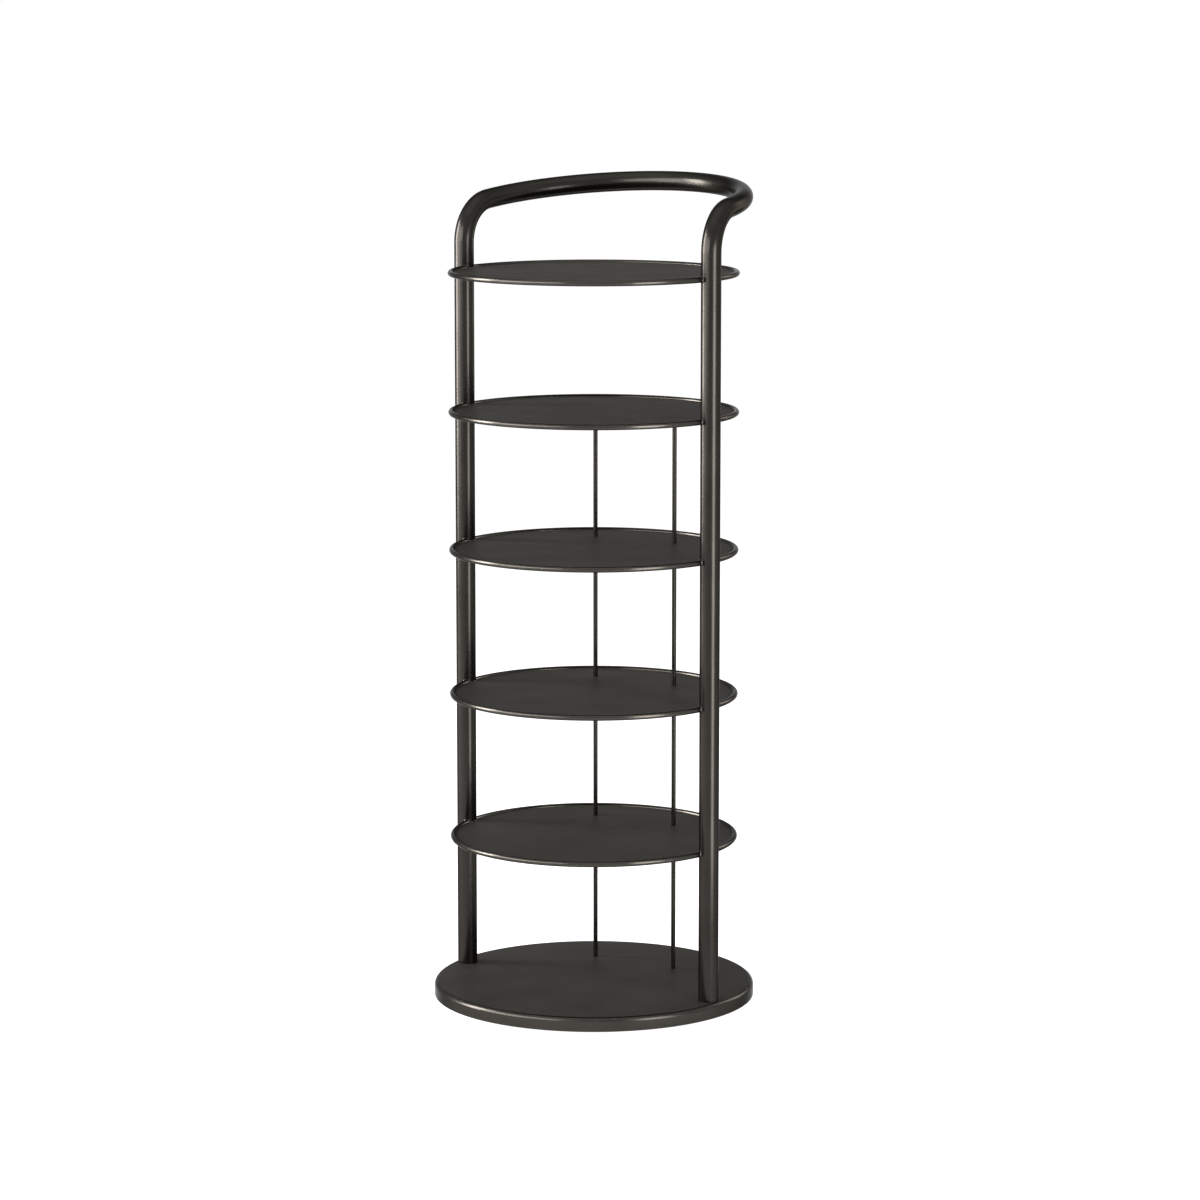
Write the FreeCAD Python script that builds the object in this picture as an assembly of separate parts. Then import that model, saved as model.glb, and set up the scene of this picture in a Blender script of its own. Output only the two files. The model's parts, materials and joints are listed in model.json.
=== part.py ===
# Vertical shoe rack: a weighted round base, one bent tube hoop and five round shelves.
# Millimetres, +Z up, +Y to the back. The origin is on the floor, under the shelves' common axis.
import FreeCAD, Part
import math
import os

from FreeCAD import Vector

# Base: a drawn steel cover over a flat weight, standing on rubber feet
base_margin = 6.0
base_height = 15.5
base_wall = 1.5
base_edge_radius = 5.0
floor_gap = 1.5
weight_thickness = 6.0
weight_side_gap = 0.5

foot_count = 6
foot_inset = 31.0
foot_diameter = 26.0
foot_draft = 1.5
foot_recess_depth = 3.6
foot_screw_diameter = 4.0
foot_screw_bite = 4.1
foot_screw_head_diameter = 8.0
foot_screw_head_height = 2.6

# Hoop: one steel tube, two posts joined by a crown that runs round the back
tube_diameter = 22.0
tube_wall = 1.5
post_overhang = 2.0
post_setback = 17.0
corner_bend_radius = 47.0
crown_half_angle = 85.0
crown_tilt = 7.2
crown_rise = 92.5

# Fixing of the posts: a threaded plug in each end and a bolt from under the base
plug_length = 25.0
post_bolt_diameter = 8.0
post_bolt_length = 25.0
post_bolt_head_across = 13.0
post_bolt_head_height = 5.3
post_washer_diameter = 16.0
post_washer_thickness = 1.6
counterbore_diameter = 24.0
counterbore_depth = 4.0

# Shelves: a flat round plate inside a rim of round wire, notched at the posts
shelf_diameter = 320.0
rim_wire_diameter = 6.0
plate_thickness = 1.2
shelf_count = 5
lowest_shelf_height = 182.0
lower_tier_pitch = 161.0
upper_tier_pitch = 153.0
lower_tier_count = 2

# Shelf fixing: a lug welded to each post, and a stud under the plate with a thin nut
lug_thickness = 2.5
lug_width = 14.0
lug_reach = 24.0
lug_hole_diameter = 5.5
shelf_stud_diameter = 5.0
shelf_stud_end = 0.5
thin_nut_across = 8.0
thin_nut_height = 2.7

# Rear rods: one pair in each tier below the second shelf
rod_diameter = 5.0
rod_half_spacing = 52.5
rod_setback = 84.0
rod_stud_diameter = 3.0
rod_stud_length = 15.5
rod_spigot_diameter = 3.0
rod_spigot_length = 1.3
first_rod_tier = 2

# Clearances
weld_gap = 0.05
post_clearance = 0.3
thread_clearance = 0.05
plug_clearance = 0.05
blind_hole_margin = 1.0
hole_clearance = 0.5
spigot_clearance = 0.1

# Heights that follow from the sizes above
base_top = floor_gap + base_height
weight_top = base_top - base_wall
weight_bottom = weight_top - weight_thickness
counterbore_top = weight_bottom + counterbore_depth
foot_screw_length = weight_bottom - foot_recess_depth + foot_screw_bite

tube_radius = tube_diameter / 2
shelf_radius = shelf_diameter / 2
rim_radius = rim_wire_diameter / 2
rim_path_radius = shelf_radius - rim_radius
plate_radius = rim_path_radius - rim_radius - weld_gap
post_circle_radius = shelf_radius + post_overhang
post_half_width = math.sqrt(post_circle_radius ** 2 - post_setback ** 2)
post_angle = math.degrees(math.atan2(-post_setback, post_half_width))

# The base reaches a little past the posts, and the feet stand in from its edge
base_radius = post_circle_radius + tube_radius + base_margin
foot_circle_radius = base_radius - foot_inset

# Shelf 1 is the top one, shelf 5 the lowest
shelf_heights = [lowest_shelf_height]
for step in range(1, shelf_count):
    pitch = lower_tier_pitch if step <= lower_tier_count else upper_tier_pitch
    shelf_heights.insert(0, shelf_heights[0] + pitch)

# The tube's axis is highest at the middle of the crown, over the top shelf
apex_height = shelf_heights[0] + crown_rise


def cylinder(radius, bottom, height, x=0.0, y=0.0):
    """An upright cylinder that starts at the height bottom."""
    return Part.makeCylinder(radius, height, Vector(x, y, bottom))


def hexagon(across, bottom, height, x, y):
    """An upright hexagonal prism, measured across its flats."""
    corner_radius = across / math.sqrt(3)
    corners = []
    for index in range(7):
        angle = math.radians(60 * index)
        corners.append(Vector(corner_radius * math.cos(angle), corner_radius * math.sin(angle), 0))
    prism = Part.Face(Part.makePolygon(corners)).extrude(Vector(0, 0, height))
    prism.translate(Vector(x, y, bottom))
    return prism


def turned(points, x=0.0, y=0.0):
    """A solid of revolution about an upright axis, from (radius, height) points."""
    profile = [Vector(radius, 0, height) for radius, height in points]
    face = Part.Face(Part.makePolygon(profile + profile[:1]))
    solid = face.revolve(Vector(0, 0, 0), Vector(0, 0, 1), 360)
    solid.translate(Vector(x, y, 0))
    return solid


def rounded_disc(radius, bottom, height, edge_radius):
    """A disc with its top edge rounded."""
    disc = cylinder(radius, bottom, height)
    top = bottom + height
    edges = [edge for edge in disc.Edges if edge.BoundBox.ZMin > top - 0.001]
    return disc.makeFillet(edge_radius, edges)


def both_sides(make):
    """Calls make for the right post and the left post and returns both solids."""
    return [make(side) for side in (1, -1)]


def post_place(side):
    return side * post_half_width, -post_setback


def post_cutters(clearance):
    """Cylinders round both posts, past every shelf, for notches and coped ends."""
    radius = tube_radius + clearance
    length = shelf_heights[0] + rim_wire_diameter
    return both_sides(lambda side: cylinder(radius, 0, length, *post_place(side)))


def save(name, solids):
    """Writes one sub-part as a STEP file."""
    shape = solids[0] if len(solids) == 1 else Part.makeCompound(solids)
    shape.exportStep(os.path.join("parts", name + ".step"))


# Base

def foot_places():
    """The feet stand evenly round the base, clear of the posts' bolts."""
    step = 360.0 / foot_count
    for index in range(foot_count):
        angle = math.radians(step * (index + 0.5))
        yield foot_circle_radius * math.cos(angle), foot_circle_radius * math.sin(angle)


def rod_places():
    return [(-rod_half_spacing, rod_setback), (rod_half_spacing, rod_setback)]


def make_base_cover():
    cover = rounded_disc(base_radius, floor_gap, base_height, base_edge_radius)
    inner_height = base_height - base_wall
    inner_radius = base_radius - base_wall
    inside = rounded_disc(inner_radius, floor_gap, inner_height, base_edge_radius - base_wall)
    cover = cover.cut(inside)
    bolt_hole_radius = (post_bolt_diameter + hole_clearance) / 2
    for side in (1, -1):
        x, y = post_place(side)
        cover = cover.cut(cylinder(bolt_hole_radius, weight_top, base_wall, x, y))
    spigot_hole_radius = rod_spigot_diameter / 2 + spigot_clearance
    for x, y in rod_places():
        cover = cover.cut(cylinder(spigot_hole_radius, weight_top, base_wall, x, y))
    return cover


def make_base_weight():
    radius = base_radius - base_wall - weight_side_gap
    weight = rounded_disc(radius, weight_bottom, weight_thickness, base_edge_radius - base_wall)
    bolt_hole_radius = (post_bolt_diameter + hole_clearance) / 2
    for side in (1, -1):
        x, y = post_place(side)
        weight = weight.cut(cylinder(bolt_hole_radius, weight_bottom, weight_thickness, x, y))
        weight = weight.cut(cylinder(counterbore_diameter / 2, weight_bottom, counterbore_depth, x, y))
    screw_hole_radius = foot_screw_diameter / 2 + thread_clearance
    screw_hole_depth = foot_screw_bite + blind_hole_margin
    for x, y in foot_places():
        weight = weight.cut(cylinder(screw_hole_radius, weight_bottom, screw_hole_depth, x, y))
    return weight


def make_foot(x, y):
    """A rubber foot, wider at the top, with a recess for its screw's head."""
    top_radius = foot_diameter / 2
    bottom_radius = top_radius - foot_draft
    recess_radius = (foot_screw_head_diameter + hole_clearance) / 2
    hole_radius = (foot_screw_diameter + hole_clearance) / 2
    return turned([
        (recess_radius, 0),
        (bottom_radius, 0),
        (top_radius, weight_bottom),
        (hole_radius, weight_bottom),
        (hole_radius, foot_recess_depth),
        (recess_radius, foot_recess_depth),
    ], x, y)


def make_foot_screw(x, y):
    head_radius = foot_screw_head_diameter / 2
    shank_radius = foot_screw_diameter / 2
    head_bottom = foot_recess_depth - foot_screw_head_height
    shank_top = foot_recess_depth + foot_screw_length
    return turned([
        (0, head_bottom),
        (head_radius, head_bottom),
        (head_radius, foot_recess_depth),
        (shank_radius, foot_recess_depth),
        (shank_radius, shank_top),
        (0, shank_top),
    ], x, y)


# Hoop

def hoop_path():
    """The tube's axis: post, corner bend, tilted crown arc, corner bend, post."""
    half_angle = math.radians(crown_half_angle)
    tilt = math.radians(crown_tilt)
    # The crown's end runs forward, a little outward and down
    end_run = Vector(
        math.cos(half_angle),
        -math.sin(half_angle) * math.cos(tilt),
        -math.sin(half_angle) * math.sin(tilt),
    )
    level_run = Vector(end_run.x, end_run.y, 0).normalize()
    drop_angle = math.asin(-end_run.z)
    corner_reach = corner_bend_radius * (1 - math.sin(drop_angle))
    corner_drop = corner_bend_radius * math.cos(drop_angle)
    crown_radius = (post_half_width - level_run.x * corner_reach) / math.sin(half_angle)
    crown_centre_y = (
        -post_setback - crown_radius * math.cos(half_angle) * math.cos(tilt) - level_run.y * corner_reach
    )

    def on_crown(angle):
        across = crown_radius * math.sin(angle)
        back = crown_radius * math.cos(angle)
        return Vector(
            across,
            crown_centre_y + back * math.cos(tilt),
            apex_height - (crown_radius - back) * math.sin(tilt),
        )

    crown_end = on_crown(half_angle)
    post_top = Vector(post_half_width, -post_setback, crown_end.z - corner_drop)
    bend_centre = post_top - level_run * corner_bend_radius
    middle_angle = (drop_angle + math.pi / 2) / 2
    bend_middle = (
        bend_centre
        + level_run * (corner_bend_radius * math.sin(middle_angle))
        + Vector(0, 0, corner_bend_radius * math.cos(middle_angle))
    )

    def mirrored(point):
        return Vector(-point.x, point.y, point.z)

    foot = Vector(post_half_width, -post_setback, base_top)
    edges = [
        Part.LineSegment(foot, post_top).toShape(),
        Part.Arc(post_top, bend_middle, crown_end).toShape(),
        Part.Arc(crown_end, on_crown(0), mirrored(crown_end)).toShape(),
        Part.Arc(mirrored(crown_end), mirrored(bend_middle), mirrored(post_top)).toShape(),
        Part.LineSegment(mirrored(post_top), mirrored(foot)).toShape(),
    ]
    return Part.Wire(edges)


def swept_round(path, radius):
    start = path.Edges[0].Vertexes[0].Point
    circle = Part.Wire(Part.makeCircle(radius, start, Vector(0, 0, 1)))
    return path.makePipeShell([circle], True, True)


def make_hoop():
    path = hoop_path()
    return swept_round(path, tube_radius).cut(swept_round(path, tube_radius - tube_wall))


def make_plug(side):
    x, y = post_place(side)
    radius = tube_radius - tube_wall - plug_clearance
    plug = cylinder(radius, base_top, plug_length, x, y)
    return plug.cut(cylinder(post_bolt_diameter / 2 + thread_clearance, base_top, plug_length, x, y))


def make_post_washer(side):
    x, y = post_place(side)
    bottom = counterbore_top - post_washer_thickness
    hole_radius = (post_bolt_diameter + hole_clearance) / 2
    washer = cylinder(post_washer_diameter / 2, bottom, post_washer_thickness, x, y)
    return washer.cut(cylinder(hole_radius, bottom, post_washer_thickness, x, y))


def make_post_bolt(side):
    x, y = post_place(side)
    head_top = counterbore_top - post_washer_thickness
    head_bottom = head_top - post_bolt_head_height
    head = hexagon(post_bolt_head_across, head_bottom, post_bolt_head_height, x, y)
    return head.fuse(cylinder(post_bolt_diameter / 2, head_top, post_bolt_length, x, y)).removeSplitter()


# Shelves

def make_plate(height, has_rod_holes):
    bottom = height - plate_thickness / 2
    plate = cylinder(plate_radius, bottom, plate_thickness)
    plate = plate.cut(post_cutters(post_clearance))
    if has_rod_holes:
        hole_radius = rod_spigot_diameter / 2 + spigot_clearance
        for x, y in rod_places():
            plate = plate.cut(cylinder(hole_radius, bottom, plate_thickness, x, y))
    return plate


def make_rims(height):
    """The rim wire's front and rear lengths, coped round the posts."""
    ring = Part.makeTorus(rim_path_radius, rim_radius, Vector(0, 0, height))
    lengths = ring.cut(post_cutters(post_clearance)).Solids
    return sorted(lengths, key=lambda solid: solid.CenterOfMass.y)


def fixing_place(side):
    """The shelf stud's axis, inward from the post along the shelf's radius."""
    distance = post_circle_radius - tube_radius - lug_reach
    angle = math.radians(post_angle)
    return side * distance * math.cos(angle), distance * math.sin(angle)


def make_lug(side, height):
    """A flat tongue under the plate, coped to the post and rounded round its hole."""
    bottom = height - plate_thickness / 2 - lug_thickness
    half_width = lug_width / 2
    length = tube_radius + lug_reach
    tongue = Part.makeBox(length, lug_width, lug_thickness, Vector(0, -half_width, bottom))
    tongue = tongue.fuse(cylinder(half_width, bottom, lug_thickness, length)).removeSplitter()
    tongue = tongue.cut(cylinder(lug_hole_diameter / 2, bottom, lug_thickness, length))
    tongue = tongue.cut(cylinder(tube_radius + weld_gap, bottom, lug_thickness))
    inward = 180 + post_angle if side > 0 else -post_angle
    tongue.rotate(Vector(0, 0, 0), Vector(0, 0, 1), inward)
    x, y = post_place(side)
    tongue.translate(Vector(x, y, 0))
    return tongue


def make_shelf_stud(side, height):
    x, y = fixing_place(side)
    length = lug_thickness + thin_nut_height + shelf_stud_end
    bottom = height - plate_thickness / 2 - length
    return cylinder(shelf_stud_diameter / 2, bottom, length, x, y)


def make_shelf_nut(side, height):
    x, y = fixing_place(side)
    bottom = height - plate_thickness / 2 - lug_thickness - thin_nut_height
    bore_radius = shelf_stud_diameter / 2 + thread_clearance
    nut = hexagon(thin_nut_across, bottom, thin_nut_height, x, y)
    return nut.cut(cylinder(bore_radius, bottom, thin_nut_height, x, y))


# Rear rods

def make_rod_stud(x, y, height):
    top = height - plate_thickness / 2
    return cylinder(rod_stud_diameter / 2, top - rod_stud_length, rod_stud_length, x, y)


def make_rod(x, y, lower_face, upper_face):
    """A rod between two plates: a spigot at its foot and a bore for the stud at its top."""
    rod_radius = rod_diameter / 2
    spigot_radius = rod_spigot_diameter / 2
    bore_radius = rod_stud_diameter / 2 + thread_clearance
    bore_bottom = upper_face - rod_stud_length - blind_hole_margin
    return turned([
        (0, lower_face - rod_spigot_length),
        (spigot_radius, lower_face - rod_spigot_length),
        (spigot_radius, lower_face),
        (rod_radius, lower_face),
        (rod_radius, upper_face),
        (bore_radius, upper_face),
        (bore_radius, bore_bottom),
        (0, bore_bottom),
    ], x, y)


def save_base():
    save("base_cover", [make_base_cover()])
    save("base_weight", [make_base_weight()])
    save("base_feet", [make_foot(x, y) for x, y in foot_places()])
    save("foot_screws", [make_foot_screw(x, y) for x, y in foot_places()])


def save_hoop():
    save("frame_hoop", [make_hoop()])
    save("post_end_plugs", both_sides(make_plug))
    save("post_bolts", both_sides(make_post_bolt))
    save("post_bolt_washers", both_sides(make_post_washer))


def save_shelves():
    both_on_each = [(side, height) for height in shelf_heights for side in (1, -1)]
    for number, height in enumerate(shelf_heights, 1):
        save(f"shelf_{number}_plate", [make_plate(height, number > first_rod_tier)])
        front, rear = make_rims(height)
        save(f"shelf_{number}_rim_front", [front])
        save(f"shelf_{number}_rim_rear", [rear])
    for side, name in ((1, "right"), (-1, "left")):
        save(f"shelf_lugs_{name}", [make_lug(side, height) for height in shelf_heights])
    save("shelf_studs", [make_shelf_stud(side, height) for side, height in both_on_each])
    save("shelf_nuts", [make_shelf_nut(side, height) for side, height in both_on_each])


def save_rods():
    studs = [make_rod_stud(x, y, height) for height in shelf_heights for x, y in rod_places()]
    save("rod_studs", studs)
    for number in range(first_rod_tier, shelf_count + 1):
        upper_face = shelf_heights[number - 1] - plate_thickness / 2
        lower_face = base_top
        if number < shelf_count:
            lower_face = shelf_heights[number] + plate_thickness / 2
        for (x, y), name in zip(rod_places(), ("left", "right")):
            save(f"rear_rod_{name}_{number}", [make_rod(x, y, lower_face, upper_face)])


os.makedirs("parts", exist_ok=True)
save_base()
save_hoop()
save_shelves()
save_rods()
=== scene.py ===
import json
import math

import bpy
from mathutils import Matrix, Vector


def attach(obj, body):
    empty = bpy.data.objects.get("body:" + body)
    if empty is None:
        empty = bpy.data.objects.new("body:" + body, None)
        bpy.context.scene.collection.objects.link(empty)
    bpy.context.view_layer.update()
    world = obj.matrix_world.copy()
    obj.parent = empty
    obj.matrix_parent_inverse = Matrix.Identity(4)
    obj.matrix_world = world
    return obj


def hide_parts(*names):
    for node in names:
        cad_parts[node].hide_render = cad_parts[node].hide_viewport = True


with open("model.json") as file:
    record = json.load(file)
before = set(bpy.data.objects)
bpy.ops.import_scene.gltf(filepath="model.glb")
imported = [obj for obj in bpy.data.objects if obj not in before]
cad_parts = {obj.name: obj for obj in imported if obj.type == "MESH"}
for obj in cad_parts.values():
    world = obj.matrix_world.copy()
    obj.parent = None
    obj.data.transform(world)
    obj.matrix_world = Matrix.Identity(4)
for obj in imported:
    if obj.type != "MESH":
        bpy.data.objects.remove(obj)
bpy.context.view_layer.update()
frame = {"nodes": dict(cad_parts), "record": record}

# Sizes in metres, the same as the solids have

# Hoop
tube_radius = 0.011
post_circle = 0.162
post_setback = 0.017
corner_bend = 0.047
crown_half_angle = math.radians(85)
crown_tilt = math.radians(7.2)
apex_height = 0.9025

# Shelves and what carries them
shelf_heights = (0.810, 0.657, 0.504, 0.343, 0.182)
shelf_radius = 0.160
wire_radius = 0.003
plate_thickness = 0.0012
post_clearance = 0.0003
lug_reach = 0.024
lug_thickness = 0.0025
stud_radius = 0.0025
stud_end = 0.0005
nut_across = 0.008
nut_height = 0.0027
thread_room = 0.00005

# Base
base_top = 0.017
base_radius = 0.179
base_edge = 0.005
base_wall = 0.0015
base_gap = 0.0015
weight_bottom = 0.0095

# Rear rods
rod_half_spacing = 0.0525
rod_setback = 0.084
rod_hole_radius = 0.0016

# Feet and their screws
foot_circle = 0.148
foot_radius = 0.013
foot_draft = 0.0015
foot_recess = 0.0036
screw_radius = 0.002
screw_bite = 0.0041
screw_head_radius = 0.004
screw_head_height = 0.0026
hole_room = 0.00025

# Bolts that hold the posts, and their washers
bolt_radius = 0.004
bolt_length = 0.025
bolt_head_across = 0.013
bolt_head_height = 0.0053
counterbore_depth = 0.004
washer_radius = 0.008
washer_thickness = 0.0016

# The solids have no coat; this much of it bridges the hairline between rim and plate
coat_build = 0.00008

# A cutting tool reaches this far past what it cuts
cut_margin = 0.001

# Sizes and places that follow
top_shelf = shelf_heights[0]
wire_path = shelf_radius - wire_radius
post_half_width = math.sqrt(post_circle ** 2 - post_setback ** 2)
post_angle = math.atan2(-post_setback, post_half_width)
lug_bottom = -plate_thickness / 2 - lug_thickness
nut_bottom = lug_bottom - nut_height
bolt_hole_radius = bolt_radius + hole_room
washer_top = weight_bottom + counterbore_depth
washer_bottom = washer_top - washer_thickness


def around(angle, radius, height):
    """A place round the rack's upright axis."""
    return Vector((radius * math.cos(angle), radius * math.sin(angle), height))


def both_sides(x, y, z=0.0):
    """A place at the right and its mirror image at the left."""
    return [(x, y, z), (-x, y, z)]


post_places = both_sides(post_half_width, -post_setback)
rod_places = both_sides(rod_half_spacing, rod_setback)


# Work by hand: picking up, drawing, joining and cutting

def put_down():
    """Leaves edit mode and selects nothing."""
    if bpy.context.object and bpy.context.object.mode != "OBJECT":
        bpy.ops.object.mode_set(mode="OBJECT")
    bpy.ops.object.select_all(action="DESELECT")


def pick_up(piece):
    """Selects one piece alone and makes it the active one."""
    put_down()
    piece.select_set(True)
    bpy.context.view_layer.objects.active = piece


def start_ring(name, radius, place, turn, sides):
    """A ring of points to draw a tube from, left open in edit mode."""
    put_down()
    bpy.ops.mesh.primitive_circle_add(vertices=sides, radius=radius, location=place, rotation=turn)
    piece = bpy.context.object
    piece.name = name
    bpy.ops.object.transform_apply(location=True, rotation=True, scale=True)
    bpy.ops.object.mode_set(mode="EDIT")
    bpy.ops.mesh.select_mode(type="VERT")
    bpy.ops.mesh.select_all(action="SELECT")
    return piece


def start_point(name, place):
    """One point to draw a profile from, left open in edit mode: a small triangle, merged."""
    piece = start_ring(name, radius=0.001, place=place, turn=(0, 0, 0), sides=3)
    bpy.ops.mesh.merge(type="CENTER")
    return piece


def draw_straight(step, scale=1.0):
    """Extrudes the open end by a step, and widens or narrows it there."""
    bpy.ops.mesh.extrude_region_move(TRANSFORM_OT_translate={"value": step})
    if scale != 1.0:
        bpy.ops.transform.resize(value=(scale, scale, scale))


def draw_bend(angle, centre, axis, steps):
    """Carries the open end round an axis, by the right-hand rule."""
    bpy.ops.mesh.spin(steps=steps, angle=-angle, center=centre, axis=axis)


def apply_modifier(piece, kind, **settings):
    """Adds one modifier to a piece and applies it."""
    pick_up(piece)
    modifier = piece.modifiers.new(kind.lower(), kind)
    for key, value in settings.items():
        setattr(modifier, key, value)
    bpy.ops.object.modifier_apply(modifier=modifier.name)


def close_up(piece, smooth_angle=40):
    """Merges the doubles, fills open ends, turns the faces outwards and smooths the piece."""
    pick_up(piece)
    bpy.ops.object.mode_set(mode="EDIT")
    bpy.ops.mesh.select_all(action="SELECT")
    bpy.ops.mesh.remove_doubles(threshold=0.000005)
    bpy.ops.mesh.select_all(action="SELECT")
    bpy.ops.mesh.fill_holes(sides=0)
    bpy.ops.mesh.select_all(action="SELECT")
    bpy.ops.mesh.normals_make_consistent(inside=False)
    bpy.ops.object.mode_set(mode="OBJECT")
    bpy.ops.object.shade_smooth_by_angle(angle=math.radians(smooth_angle))
    put_down()


def copy_at(piece, name, step, turn=0.0):
    """A copy with its own mesh, turned and moved and then set at the origin again."""
    pick_up(piece)
    bpy.ops.object.duplicate(linked=False)
    twin = bpy.context.object
    twin.name = name
    if turn:
        bpy.ops.transform.rotate(value=turn, orient_axis="Z", center_override=(0, 0, 0))
    bpy.ops.transform.translate(value=step)
    bpy.ops.object.transform_apply(location=True, rotation=True, scale=True)
    put_down()
    return twin


def join_as(name, pieces):
    """Makes several pieces one, under a new name."""
    put_down()
    for piece in pieces:
        piece.select_set(True)
    bpy.context.view_layer.objects.active = pieces[0]
    if len(pieces) > 1:
        bpy.ops.object.join()
    joined = bpy.context.object
    joined.name = name
    put_down()
    return joined


def carve(piece, tool, operation):
    """Cuts, adds or keeps what a tool marks out of a piece, and clears the tool away."""
    apply_modifier(piece, "BOOLEAN", operation=operation, solver="EXACT", object=tool)
    pick_up(tool)
    bpy.ops.object.delete()


def drill(piece, radius, places, low, high):
    """Upright holes of one size through a piece."""
    drills = []
    for x, y, _ in places:
        put_down()
        middle = (x, y, (low + high) / 2)
        bpy.ops.mesh.primitive_cylinder_add(
            vertices=64, radius=radius, depth=high - low, location=middle,
        )
        drills.append(bpy.context.object)
    carve(piece, join_as("drill", drills), "DIFFERENCE")


def turned_piece(name, points, sides, edge):
    """A piece turned round the upright axis from points of radius and height, its corners rounded."""
    radius, height = points[0]
    piece = start_point(name, (radius, 0, height))
    for next_radius, next_height in points[1:]:
        draw_straight((next_radius - radius, 0, next_height - height))
        radius, height = next_radius, next_height
    bpy.ops.mesh.select_all(action="SELECT")
    draw_bend(2 * math.pi, (0, 0, 0), (0, 0, 1), sides)
    bpy.ops.object.mode_set(mode="OBJECT")
    close_up(piece)
    corner = math.radians(30)
    apply_modifier(piece, "BEVEL", width=edge, segments=3, limit_method="ANGLE", angle_limit=corner)
    close_up(piece)
    return piece


def fit_out(piece, coat, slot, *nodes):
    """Gives a finished piece its coat and sets it on the frame."""
    piece.data.materials.clear()
    piece.data.materials.append(coat)
    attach(piece, "root")
    if nodes:
        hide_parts(*nodes)


# Patterns and finishes

class Nodes:
    """The nodes of one tree."""

    def __init__(self, tree):
        self.tree = tree

    def feed(self, value, socket):
        """Links a pattern to a socket, or sets the socket to a number, a place or a colour."""
        if isinstance(value, bpy.types.NodeSocket):
            self.tree.links.new(value, socket)
        elif socket.type == "RGBA":
            socket.default_value = (*value, 1)
        else:
            socket.default_value = value

    def add(self, kind, inputs, **settings):
        """A new node with its settings, its inputs fed by name or number."""
        node = self.tree.nodes.new(kind)
        for key, value in settings.items():
            setattr(node, key, value)
        for key, value in inputs.items():
            self.feed(value, node.inputs[key])
        return node

    def maths(self, operation, first, second):
        """The result of one operation on two values."""
        node = self.add("ShaderNodeMath", {0: first, 1: second}, operation=operation)
        return node.outputs["Value"]

    def span(self, value, low, high, to_low, to_high):
        """Carries a value from one range to another and keeps it inside that."""
        node = self.add("ShaderNodeMapRange", {
            "Value": value, "From Min": low, "From Max": high, "To Min": to_low, "To Max": to_high,
        })
        return node.outputs["Result"]

    def seen(self):
        """1 for what the camera, a mirror or a glass sees, and 0 for other light."""
        path = self.add("ShaderNodeLightPath", {})
        share = self.maths("MAXIMUM", path.outputs["Is Camera Ray"], path.outputs["Is Glossy Ray"])
        return self.maths("MAXIMUM", share, path.outputs["Is Transmission Ray"])


class Finish(Nodes):
    """A material: one shader, fed by patterns on the piece's own coordinates."""

    def __init__(self, name):
        self.material = bpy.data.materials.new(name)
        self.material.use_nodes = True
        super().__init__(self.material.node_tree)
        self.shader = self.tree.nodes["Principled BSDF"]
        self.place = self.add("ShaderNodeTexCoord", {}).outputs["Object"]

    def set(self, **values):
        """Feeds the shader's sockets; a low line stands for the space in a socket's name."""
        for key, value in values.items():
            self.feed(value, self.shader.inputs[key.replace("_", " ")])

    def noise(self, scale, detail=2.0, rough=0.5):
        """Cloudy noise, finer where the scale is larger."""
        node = self.add("ShaderNodeTexNoise", {
            "Vector": self.place, "Scale": scale, "Detail": detail, "Roughness": rough,
        })
        return node.outputs["Fac"]

    def varied(self, scale, detail, between):
        """Noise, which keeps to about 0.3 to 0.7 by itself, spread between two values."""
        return self.span(self.noise(scale, detail), 0.3, 0.7, *between)

    def blend(self, share, first, second):
        """A mix of two colours, which go into inputs 6 and 7 and come out of output 2."""
        node = self.add("ShaderNodeMix", {"Factor": share, 6: first, 7: second}, data_type="RGBA")
        return node.outputs[2]

    def axis_distance(self):
        """Distance from the rack's upright axis."""
        level = self.add("ShaderNodeVectorMath", {0: self.place, 1: (1, 1, 0)}, operation="MULTIPLY")
        length = self.add("ShaderNodeVectorMath", {0: level.outputs["Vector"]}, operation="LENGTH")
        return length.outputs["Value"]

    def height(self):
        """Height over the floor."""
        return self.add("ShaderNodeSeparateXYZ", {"Vector": self.place}).outputs["Z"]

    def relief(self, height, depth, strength, under=None):
        """Turns a pattern into relief of a given depth in metres, over another relief if given."""
        node = self.add("ShaderNodeBump", {"Height": height, "Distance": depth, "Strength": strength})
        if under is not None:
            self.feed(under, node.inputs["Normal"])
        return node.outputs["Normal"]


# Graphite powder coat. The real rack has one coat; here the tubes and rods take darker copies of it as
# painted shade, the rim wire and the base's edge paler copies as painted highlight, and the shelf
# sheets the plain tone; reflection and roughness differ between the copies too

# Colours are linear shares of red, green and blue
graphite = (0.0300, 0.0274, 0.0242)
pale_graphite = (0.0400, 0.0368, 0.0330)
rubbed_graphite = (0.16, 0.15, 0.135)
rub_polish = 0.08

# The coat is warm when looked at straight, and this many times as much cooler at a grazing look
cool_lean = 1.4


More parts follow.
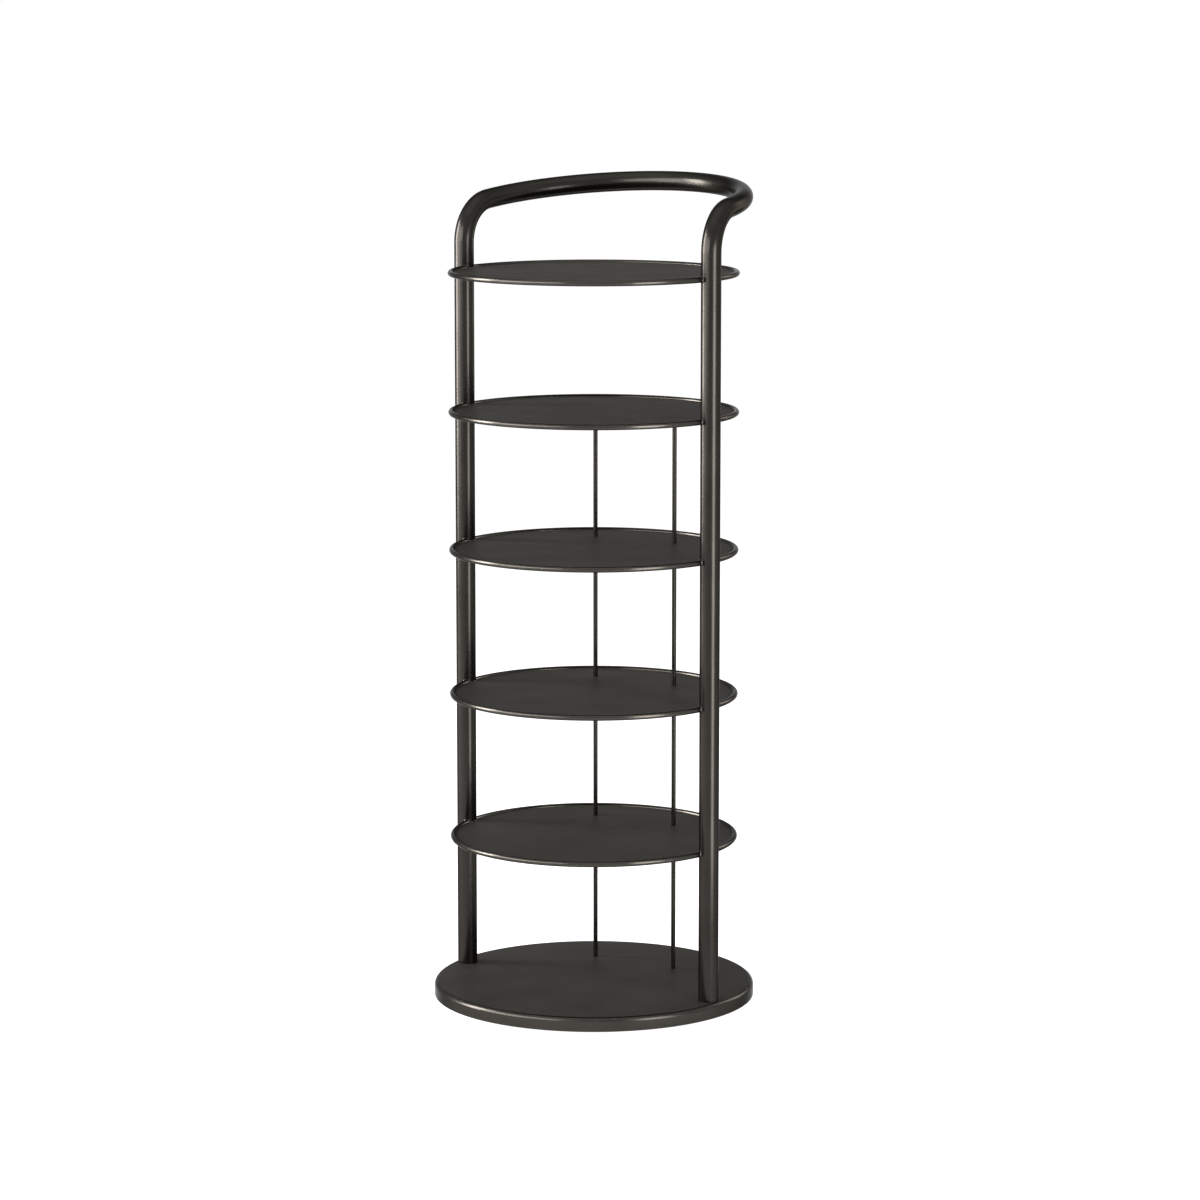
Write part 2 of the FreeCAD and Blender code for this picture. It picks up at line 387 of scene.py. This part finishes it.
def satin_coat(name, painted_light_scale, flake, grazing, rough, rubbed=None):
    """Dark coat with fine flake, orange peel, cloudy tone and paler rubs. Its tones are scaled: above
    one gives a paler copy, a painted highlight; below one a darker copy, painted shade. Its reflection
    is dulled at a grazing look, a painted shade on the reflection of the white surroundings.
    """
    # The coat's tones scaled up for a painted highlight, down for painted shade
    dark = [painted_light_scale * part for part in graphite]
    pale = [painted_light_scale * part for part in pale_graphite]
    mirrored = [flake * (first + second) / 2 for first, second in zip(dark, pale)]
    # The reflection's tint drops to the grazing share at a grazing look: painted shade, darker at the
    # edges than a real coat's reflection of the white surroundings
    grazing_painted_shade_tint = [grazing + cool_lean * (mirrored[1] - part) for part in mirrored]
    finish = Finish(name)
    grain = finish.noise(scale=2600)
    tone = finish.blend(finish.varied(scale=14, detail=4, between=(0, 1)), dark, pale)
    tone = finish.blend(finish.span(grain, 0.35, 0.75, 0, 0.3), tone, pale)
    gloss = finish.varied(scale=55, detail=3, between=rough)
    if rubbed is not None:
        share = rubbed(finish)
        tone = finish.blend(share, tone, rubbed_graphite)
        gloss = finish.maths("SUBTRACT", gloss, finish.maths("MULTIPLY", share, rub_polish))
    peel = finish.relief(finish.noise(scale=420, detail=1), depth=0.00005, strength=0.04)
    skin = finish.relief(grain, depth=0.00001, strength=0.06, under=peel)
    finish.set(Metallic=flake, Specular_IOR_Level=0, Specular_Tint=grazing_painted_shade_tint)
    finish.set(Base_Color=tone, Roughness=gloss, Normal=skin)
    return finish.material


def rubs(finish, place_share, most):
    """Small scattered rubs, only where the place share allows them."""
    scatter = finish.noise(scale=170, detail=5, rough=0.65)
    return finish.maths("MULTIPLY", finish.span(scatter, 0.60, 0.70, 0, most), place_share)


def rubbed_rim(finish):
    """The outermost part of the wire, which is brushed most: its last 0.8 mm."""
    distance = finish.axis_distance()
    outermost = finish.span(distance, shelf_radius - 0.0008, shelf_radius - 0.0002, 0, 1)
    return rubs(finish, outermost, most=0.30)


def rubbed_base_edge(finish):
    """The upper half of the base's rounded edge, and the lower edge of its side."""
    shoulder = finish.span(finish.height(), base_top - 0.0028, base_top - 0.0010, 0, 1)
    lower_edge = finish.span(finish.height(), base_gap + 0.0015, base_gap + 0.0003, 0, 1)
    return rubs(finish, finish.maths("MAXIMUM", shoulder, lower_edge), most=0.30)


def rubbed_handle(finish):
    """The crown is where hands carry the rack."""
    crown = finish.span(finish.height(), apex_height - 0.0175, apex_height + 0.0075, 0, 1)
    return rubs(finish, crown, most=0.12)


# On the tubes a darker copy of the coat: painted shade that keeps the tubes' reflection of the white
# surroundings dark
tube_coat = satin_coat(
    "graphite_coat_on_tube_painted_shade",
    painted_light_scale=0.80, flake=0.92, grazing=0.40, rough=(0.23, 0.27), rubbed=rubbed_handle,
)
sheet_coat = satin_coat(
    "graphite_coat_on_sheet",
    painted_light_scale=1.00, flake=0.62, grazing=0.50, rough=(0.52, 0.58),
)
# On the rim wire a paler copy of the coat: painted highlight, brighter streaks along the rims than the
# tubes get
wire_coat_painted_highlight = satin_coat(
    "graphite_coat_on_wire_painted_highlight",
    painted_light_scale=1.43, flake=0.90, grazing=0.36, rough=(0.20, 0.25), rubbed=rubbed_rim,
)
# On the base's rounded edge and side a paler copy of the coat: painted highlight along the edge, and a
# lighter side
edge_coat_painted_highlight = satin_coat(
    "graphite_coat_on_base_edge_painted_highlight",
    painted_light_scale=1.15, flake=0.90, grazing=0.43, rough=(0.22, 0.28), rubbed=rubbed_base_edge,
)
# On the rear rods a darker copy of the coat: painted shade, the rods darkened as if in the shade of
# shoes on the shelves
rod_coat_painted_shade = satin_coat(
    "graphite_coat_on_rod_painted_shade",
    painted_light_scale=0.66, flake=0.92, grazing=0.40, rough=(0.26, 0.32),
)


# Bare and plated steel, and rubber

def plated_steel(name, colour, paler, rough):
    """Dull bright metal with small clouds and a fine crystalline skin."""
    finish = Finish(name)
    tone = finish.blend(finish.varied(scale=160, detail=4, between=(0, 1)), colour, paler)
    gloss = finish.varied(scale=420, detail=3, between=rough)
    skin = finish.relief(finish.noise(scale=1500), depth=0.00003, strength=0.3)
    finish.set(Metallic=1.0, Base_Color=tone, Roughness=gloss, Normal=skin)
    return finish.material


def moulded_rubber(name, colour, paler, rough):
    """Black rubber with a grained, matt skin."""
    finish = Finish(name)
    tone = finish.blend(finish.noise(scale=60, detail=3), colour, paler)
    gloss = finish.varied(scale=300, detail=2, between=rough)
    skin = finish.relief(finish.noise(scale=1800), depth=0.00008, strength=0.4)
    finish.set(Specular_IOR_Level=0.3, Base_Color=tone, Roughness=gloss, Normal=skin)
    return finish.material


zinc = plated_steel("zinc_plate", (0.42, 0.43, 0.43), (0.56, 0.56, 0.54), rough=(0.28, 0.42))
mill_steel = plated_steel(
    "oiled_mill_plate", (0.16, 0.155, 0.15), (0.27, 0.265, 0.26), rough=(0.42, 0.6),
)
rubber = moulded_rubber("matt_rubber", (0.012, 0.012, 0.012), (0.03, 0.029, 0.028), rough=(0.6, 0.8))


# Finish of every solid: that of its slot, apart from the rear rods and their studs, which take a
# darker copy of the coat as painted shade

slot_finishes = {
    "tube_coat": tube_coat,
    "shelf_coat": sheet_coat,
    "rim_coat": wire_coat_painted_highlight,
    "base_coat": edge_coat_painted_highlight,
    "bare_steel": mill_steel,
    "zinc_steel": zinc,
    "foot_rubber": rubber,
}
node_slots = {part["node"]: part["material_slot"] for part in frame["record"]["subparts"]}
for node_name, slot in node_slots.items():
    is_rod = node_name.startswith(("rear_rod", "rod_studs"))
    node = frame["nodes"][node_name]
    node.data.materials.clear()
    node.data.materials.append(rod_coat_painted_shade if is_rod else slot_finishes[slot])


# Hoop

def make_hoop():
    """One drawn tube: post, corner bend and half the crown, then mirrored."""
    # The way that the crown runs at its right end, forwards and a little down in its tilted plane
    run_out = Vector((
        math.cos(crown_half_angle),
        -math.sin(crown_half_angle) * math.cos(crown_tilt),
        -math.sin(crown_half_angle) * math.sin(crown_tilt),
    ))
    level = Vector((run_out.x, run_out.y, 0)).normalized()
    drop = math.asin(-run_out.z)
    reach = corner_bend * (1 - math.sin(drop))
    crown_radius = (post_half_width - level.x * reach) / math.sin(crown_half_angle)

    crown_depth = crown_radius * math.cos(crown_half_angle)
    crown_y = -post_setback - crown_depth * math.cos(crown_tilt) - level.y * reach
    crown_centre = Vector((0, crown_y, apex_height - crown_radius * math.sin(crown_tilt)))
    crown_axis = (0, -math.sin(crown_tilt), math.cos(crown_tilt))
    crown_end_height = crown_centre.z + crown_depth * math.sin(crown_tilt)
    post_top_height = crown_end_height - corner_bend * math.cos(drop)
    post_top = Vector((post_half_width, -post_setback, post_top_height))

    foot = Vector((post_half_width, -post_setback, base_top))
    hoop = start_ring("hoop_tube", tube_radius, foot, turn=(0, 0, 0), sides=64)
    draw_straight((0, 0, post_top.z - base_top))
    bend_centre = post_top - level * corner_bend
    draw_bend(math.pi / 2 - drop, bend_centre, (level.y, -level.x, 0), steps=20)
    draw_bend(crown_half_angle, crown_centre, crown_axis, steps=56)
    bpy.ops.object.mode_set(mode="OBJECT")
    apply_modifier(hoop, "MIRROR", use_mirror_merge=True, merge_threshold=0.00001)
    close_up(hoop)
    return hoop


hoop = make_hoop()
fit_out(hoop, tube_coat, "tube_coat", "frame_hoop")


# Shelf rims

# Half the angle that a post takes up on the rim's path, and how far a rim's end runs into the post
half_taken = math.acos(
    (wire_path ** 2 + post_circle ** 2 - tube_radius ** 2) / (2 * wire_path * post_circle)
)
buried = math.radians(1.0)
wire_sides = 28


def make_rim(name, first, sweep):
    """A length of round wire bent to the top shelf's edge, its ends run into the posts."""
    turn = (math.pi / 2, 0, first)
    begin = around(first, wire_path, top_shelf)
    rim = start_ring(name, wire_radius + coat_build, begin, turn, wire_sides)
    draw_bend(sweep, (0, 0, top_shelf), (0, 0, 1), steps=160)
    bpy.ops.object.mode_set(mode="OBJECT")
    close_up(rim)
    return rim


def put_on_shelves(piece, ending, *node_endings):
    """Fits out the top shelf's piece, and a copy of it on each of the other shelves."""
    for number, height in enumerate(shelf_heights, 1):
        on_shelf = piece
        if number > 1:
            on_shelf = copy_at(piece, f"shelf_{number}_{ending}", (0, 0, height - top_shelf))
        nodes = [f"shelf_{number}_{node_ending}" for node_ending in node_endings]
        fit_out(on_shelf, wire_coat_painted_highlight, "rim_coat", *nodes)


front_start = post_angle - half_taken + buried
front_rim = make_rim("shelf_1_bead_front", front_start, -(math.pi + 2 * front_start))
rear_start = post_angle + half_taken - buried
rear_rim = make_rim("shelf_1_bead_rear", rear_start, math.pi - 2 * rear_start)
put_on_shelves(front_rim, "bead_front", "rim_front")
put_on_shelves(rear_rim, "bead_rear", "rim_rear")


# Welds of the rims and plates to the posts

# A weld's toe is drawn as a ring just off the post, cast onto it and sunk in by a hair
weld_start = half_taken + math.radians(1.6)
weld_toe_radius = 0.0043
weld_sink = 0.00015

# Radius of each ring of the weld, and its step along the wire: outside, a flare from the toe down
# to the wire's skin; inside, under the skin and back to the post
weld_outside = ((0.0036, -0.0006), (0.0032, -0.0007), (0.00297, -0.0007))
weld_inside = ((0.0024, 0.0006), (0.0024, 0.0018))

seam_radius = 0.0009
seam_half_turn = math.radians(43.5)


def make_rim_weld(name, angle, way):
    """A fillet flared from a rim's end onto the post; way is 1 from the front, -1 from the rear."""
    put_down()
    bpy.ops.mesh.primitive_circle_add(
        vertices=wire_sides, radius=weld_toe_radius,
        location=around(angle, wire_path, top_shelf), rotation=(-way * math.pi / 2, 0, angle),
    )
    weld = bpy.context.object
    weld.name = name
    apply_modifier(
        weld, "SHRINKWRAP", target=hoop, wrap_method="PROJECT", use_project_z=True,
        use_negative_direction=False, use_positive_direction=True,
    )
    bpy.ops.object.transform_apply(location=True, rotation=True, scale=True)
    onwards = Vector((-math.sin(angle), math.cos(angle), 0)) * way
    bpy.ops.object.mode_set(mode="EDIT")
    bpy.ops.mesh.select_all(action="SELECT")
    bpy.ops.transform.translate(value=onwards * weld_sink)
    radius = weld_toe_radius
    for next_radius, step in weld_outside + weld_inside:
        draw_straight(onwards * step, next_radius / radius)
        radius = next_radius
    bpy.ops.mesh.select_all(action="DESELECT")
    bpy.ops.mesh.select_non_manifold()
    bpy.ops.mesh.bridge_edge_loops()
    bpy.ops.object.mode_set(mode="OBJECT")
    close_up(weld, smooth_angle=60)
    return weld


def make_notch_seam(name):
    """A thin seam on the plate's top along the notch round the post."""
    centre = Vector((post_half_width, -post_setback, top_shelf + plate_thickness / 2))
    first = math.pi + post_angle - seam_half_turn
    begin = centre + around(first, tube_radius + post_clearance, 0)
    seam = start_ring(name, seam_radius, begin, turn=(math.pi / 2, 0, first), sides=14)
    draw_bend(2 * seam_half_turn, centre, (0, 0, 1), steps=28)
    bpy.ops.object.mode_set(mode="OBJECT")
    close_up(seam)
    return seam


welds = join_as("shelf_1_welds", [
    make_rim_weld("rim_weld_front", post_angle - weld_start, way=1),
    make_rim_weld("rim_weld_rear", post_angle + weld_start, way=-1),
    make_notch_seam("notch_seam"),
])
apply_modifier(welds, "MIRROR", use_mirror_merge=False)
put_on_shelves(welds, "welds")


# Base

def make_base_shell():
    """The base's cover, turned from one drawn profile: top, rounded edge, side and the inside."""
    flat_radius = base_radius - base_edge
    bend_height = base_top - base_edge
    bend_centre = (flat_radius, 0, bend_height)
    shell = start_point("base_shell", (0, 0, base_top))
    draw_straight((flat_radius, 0, 0))
    draw_bend(math.pi / 2, bend_centre, (0, 1, 0), steps=10)
    draw_straight((0, 0, base_gap - bend_height))
    draw_straight((-base_wall, 0, 0))
    draw_straight((0, 0, bend_height - base_gap))
    draw_bend(-math.pi / 2, bend_centre, (0, 1, 0), steps=8)
    draw_straight((-flat_radius, 0, 0))
    bpy.ops.mesh.select_all(action="SELECT")
    draw_bend(2 * math.pi, (0, 0, 0), (0, 0, 1), steps=288)
    bpy.ops.object.mode_set(mode="OBJECT")
    close_up(shell)
    for radius, places in ((bolt_hole_radius, post_places), (rod_hole_radius, rod_places)):
        drill(shell, radius, places, base_top - 2 * base_wall, base_top + base_wall)
    close_up(shell)
    return shell


def paint_highlight_on_outer_edge(shell):
    """The rounded edge and the side take a paler, more reflective copy of the coat, a painted
    highlight, and the flat top keeps the sheet's coat.
    """
    shell.data.materials.append(edge_coat_painted_highlight)
    for face in shell.data.polygons:
        outside = math.hypot(face.center.x, face.center.y) > base_radius - base_edge
        face.material_index = 1 if outside else 0


base_shell = make_base_shell()
fit_out(base_shell, sheet_coat, "base_coat", "base_cover")
paint_highlight_on_outer_edge(base_shell)


# Feet, screws, bolts and nuts

foot_places = [around(math.radians(angle), foot_circle, 0) for angle in range(30, 390, 60)]

# The studs and nuts sit at the lugs' reach from the posts' inner side
fixing = around(post_angle, post_circle - tube_radius - lug_reach, 0)
fixing_places = [place for height in shelf_heights for place in both_sides(fixing.x, fixing.y, height)]


def round_bar(name, radius, low, high, edge):
    """An upright round bar with rounded ends."""
    profile = [(0, low), (radius, low), (radius, high), (0, high)]
    return turned_piece(name, profile, sides=40, edge=edge)


def hex_block(name, across, low, high, flat):
    """A hexagonal block whose lower corners are turned off to a flat of a given radius."""
    corner = across / math.sqrt(3)
    corner_to_x_axis = math.radians(30)
    chamfer = math.radians(30)
    put_down()
    bpy.ops.mesh.primitive_cylinder_add(
        vertices=6, radius=corner, depth=high - low,
        location=(0, 0, (low + high) / 2), rotation=(0, 0, corner_to_x_axis),
    )
    block = bpy.context.object
    block.name = name
    bpy.ops.object.transform_apply(location=True, rotation=True, scale=True)
    clear = corner + 0.0002
    chamfer_top = low + (clear - flat) * math.tan(chamfer)
    past = high + cut_margin
    profile = [(0, low), (flat, low), (clear, chamfer_top), (clear, past), (0, past)]
    carve(block, turned_piece("turning", profile, sides=60, edge=0.00005), "INTERSECT")
    return block


def make_foot():
    """A moulded foot, wider at the top, with a recess for its screw's head."""
    head_hole = screw_head_radius + hole_room
    screw_hole = screw_radius + hole_room
    return turned_piece("foot", [
        (head_hole, 0),
        (foot_radius - foot_draft, 0),
        (foot_radius, weight_bottom),
        (screw_hole, weight_bottom),
        (screw_hole, foot_recess),
        (head_hole, foot_recess),
        (head_hole, 0),
    ], sides=56, edge=0.0005)


def make_foot_screw():
    """A pan-headed screw, head down, with a cross recess."""
    head_low = foot_recess - screw_head_height
    screw_top = weight_bottom + screw_bite
    screw = turned_piece("foot_screw", [
        (0, head_low),
        (screw_head_radius, head_low),
        (screw_head_radius, foot_recess),
        (screw_radius, foot_recess),
        (screw_radius, screw_top),
        (0, screw_top),
    ], sides=48, edge=0.0007)
    cross_length = 0.0046
    cross_width = 0.001
    cross_top = 0.0023
    bar_height = 0.003
    middle = (0, 0, cross_top - bar_height / 2)
    bars = []
    for length, width in ((cross_length, cross_width), (cross_width, cross_length)):
        put_down()
        bpy.ops.mesh.primitive_cube_add(size=1, location=middle, scale=(length, width, bar_height))
        bars.append(bpy.context.object)
        bpy.ops.object.transform_apply(location=True, rotation=True, scale=True)
    for bar in bars:
        carve(screw, bar, "DIFFERENCE")
    close_up(screw)
    return screw


def make_post_bolt():
    """A hexagon-headed bolt, head down; its shank starts inside the head."""
    head_low = washer_bottom - bolt_head_height
    bolt = hex_block("post_bolt", bolt_head_across, head_low, washer_bottom, flat=0.0062)
    shank_low = washer_bottom - cut_margin
    shank_top = washer_bottom + bolt_length
    carve(bolt, round_bar("shank", bolt_radius, shank_low, shank_top, edge=0.0004), "UNION")
    close_up(bolt, smooth_angle=30)
    return bolt


def make_washer():
    """A flat round washer, up against the weight's counterbore."""
    return turned_piece("washer", [
        (bolt_hole_radius, washer_bottom),
        (washer_radius, washer_bottom),
        (washer_radius, washer_top),
        (bolt_hole_radius, washer_top),
        (bolt_hole_radius, washer_bottom),
    ], sides=64, edge=0.00015)


def make_shelf_nut():
    """A thin hexagon nut under a lug."""
    nut = hex_block("shelf_nut", nut_across, nut_bottom, lug_bottom, flat=0.0038)
    bore = stud_radius + thread_room
    drill(nut, bore, [(0, 0, 0)], nut_bottom - cut_margin, lug_bottom + cut_margin)
    close_up(nut, smooth_angle=30)
    return nut


def make_shelf_stud():
    """A stud from the plate's underside through the lug and its nut."""
    low = nut_bottom - stud_end
    return round_bar("shelf_stud", stud_radius, low, -plate_thickness / 2, edge=0.0003)


def spread_out(name, piece, places, turns=(0,)):
    """Copies of a piece at the given places, each turned by its own angle in degrees, joined."""
    copies = []
    for index, place in enumerate(places):
        turn = math.radians(turns[index % len(turns)])
        copies.append(copy_at(piece, f"{name}_{index}", place, turn))
    pick_up(piece)
    bpy.ops.object.delete()
    return join_as(name, copies)


def fit_instead(piece, node_name):
    """Fits out a piece in the finish of the node that it stands for."""
    slot = node_slots[node_name]
    fit_out(piece, slot_finishes[slot], slot, node_name)


# Tightened by hand, no two screws, bolts or nuts side by side end at the same turn
screw_turns = (12, 71, 40, 25, 83, 57)
bolt_turns = (0, 23)
nut_turns = (0, 19, 41, 8, 33)

feet = spread_out("feet", make_foot(), foot_places)
foot_screws = spread_out("foot_screws_turned", make_foot_screw(), foot_places, screw_turns)
post_bolts = spread_out("post_bolts_hex", make_post_bolt(), post_places, bolt_turns)
post_washers = spread_out("post_washers", make_washer(), post_places)
shelf_nuts = spread_out("shelf_nuts_hex", make_shelf_nut(), fixing_places, nut_turns)
shelf_studs = spread_out("shelf_studs_turned", make_shelf_stud(), fixing_places)

fit_instead(feet, "base_feet")
fit_instead(foot_screws, "foot_screws")
fit_instead(post_bolts, "post_bolts")
fit_instead(post_washers, "post_bolt_washers")
fit_instead(shelf_nuts, "shelf_nuts")
fit_instead(shelf_studs, "shelf_studs")


# Camera: it stands to the right of the front and looks a little down

camera_place = (2.4412, -3.7466, 1.1448)
camera_azimuth = math.radians(33.0)
camera_tip = math.radians(81.13)
lens_length = 122.44
sensor_width = 36

camera_data = bpy.data.cameras.new("camera")
camera_data.lens = lens_length
camera_data.sensor_width = sensor_width
camera = bpy.data.objects.new("camera", camera_data)
camera.location = camera_place
camera.rotation_euler = (camera_tip, 0, camera_azimuth)
bpy.context.scene.collection.objects.link(camera)
bpy.context.scene.camera = camera


# Floor and surroundings

# How bright the floor glows to the eye, and how bright the surroundings are as a source of light
floor_glow = 0.94
sky_light = 0.2


def pale_floor():
    """White to the eye, with the shadow kept, and plain pale to other light."""
    finish = Finish("pale_floor")
    glow = finish.maths("MULTIPLY", finish.seen(), floor_glow)
    finish.set(Base_Color=(0.42, 0.42, 0.42), Specular_IOR_Level=0.0, Roughness=0.9)
    finish.set(Emission_Color=(1, 1, 1), Emission_Strength=glow)
    return finish.material


def white_world():
    """White to the eye and in mirrors, and dim as a source of light."""
    world = bpy.data.worlds.new("studio")
    world.use_nodes = True
    sky = Nodes(world.node_tree)
    background = world.node_tree.nodes["Background"]
    sky.feed((1, 1, 1), background.inputs["Color"])
    sky.feed(sky.span(sky.seen(), 0, 1, sky_light, 1), background.inputs["Strength"])
    return world


put_down()
bpy.ops.mesh.primitive_plane_add(size=40, location=(0, 0, 0))
floor = bpy.context.object
floor.name = "floor"
floor.data.materials.append(pale_floor())
bpy.context.scene.world = white_world()


# Lamps

def lamp(name, place, aim, size, power, fan=math.pi):
    """A flat soft lamp that faces a point, out of sight; a small fan keeps its light off the floor."""
    data = bpy.data.lights.new(name, "AREA")
    data.shape = "RECTANGLE"
    data.size, data.size_y = size
    data.energy = power
    data.spread = fan
    light = bpy.data.objects.new(name, data)
    light.location = place
    light.rotation_euler = (Vector(aim) - Vector(place)).to_track_quat("-Z", "Y").to_euler()
    light.visible_camera = False
    bpy.context.scene.collection.objects.link(light)


def lamp_on_stand(name, azimuth, distance, height, size, power, fan=math.pi):
    """A lamp that looks level at the rack's axis; its azimuth counts from the front to the right."""
    angle = math.radians(azimuth)
    place = (distance * math.sin(angle), -distance * math.cos(angle), height)
    lamp(name, place, (0, 0, height), size, power, fan)


lamp_on_stand("left_panel", azimuth=-64, distance=3.0, height=1.31, size=(1.05, 2.1), power=222.0)
lamp_on_stand("left_fill", azimuth=-34, distance=3.0, height=1.39, size=(1.5, 2.0), power=75.0)
lamp_on_stand("front_fill", azimuth=-6, distance=3.0, height=1.55, size=(1.5, 1.6), power=50.0)
lamp_on_stand(
    "right_strip", azimuth=73, distance=0.75, height=0.485, size=(0.28, 0.93), power=2.75,
    fan=math.radians(100),
)
lamp("top_lamp", place=(0, -0.3, 2.6), aim=(0, 0, 0.4), size=(2.0, 1.6), power=5.0)
lamp_on_stand("back_panel", azimuth=165, distance=2.6, height=1.2, size=(0.9, 1.6), power=36.0)

bpy.context.scene.view_settings.view_transform = "Standard"
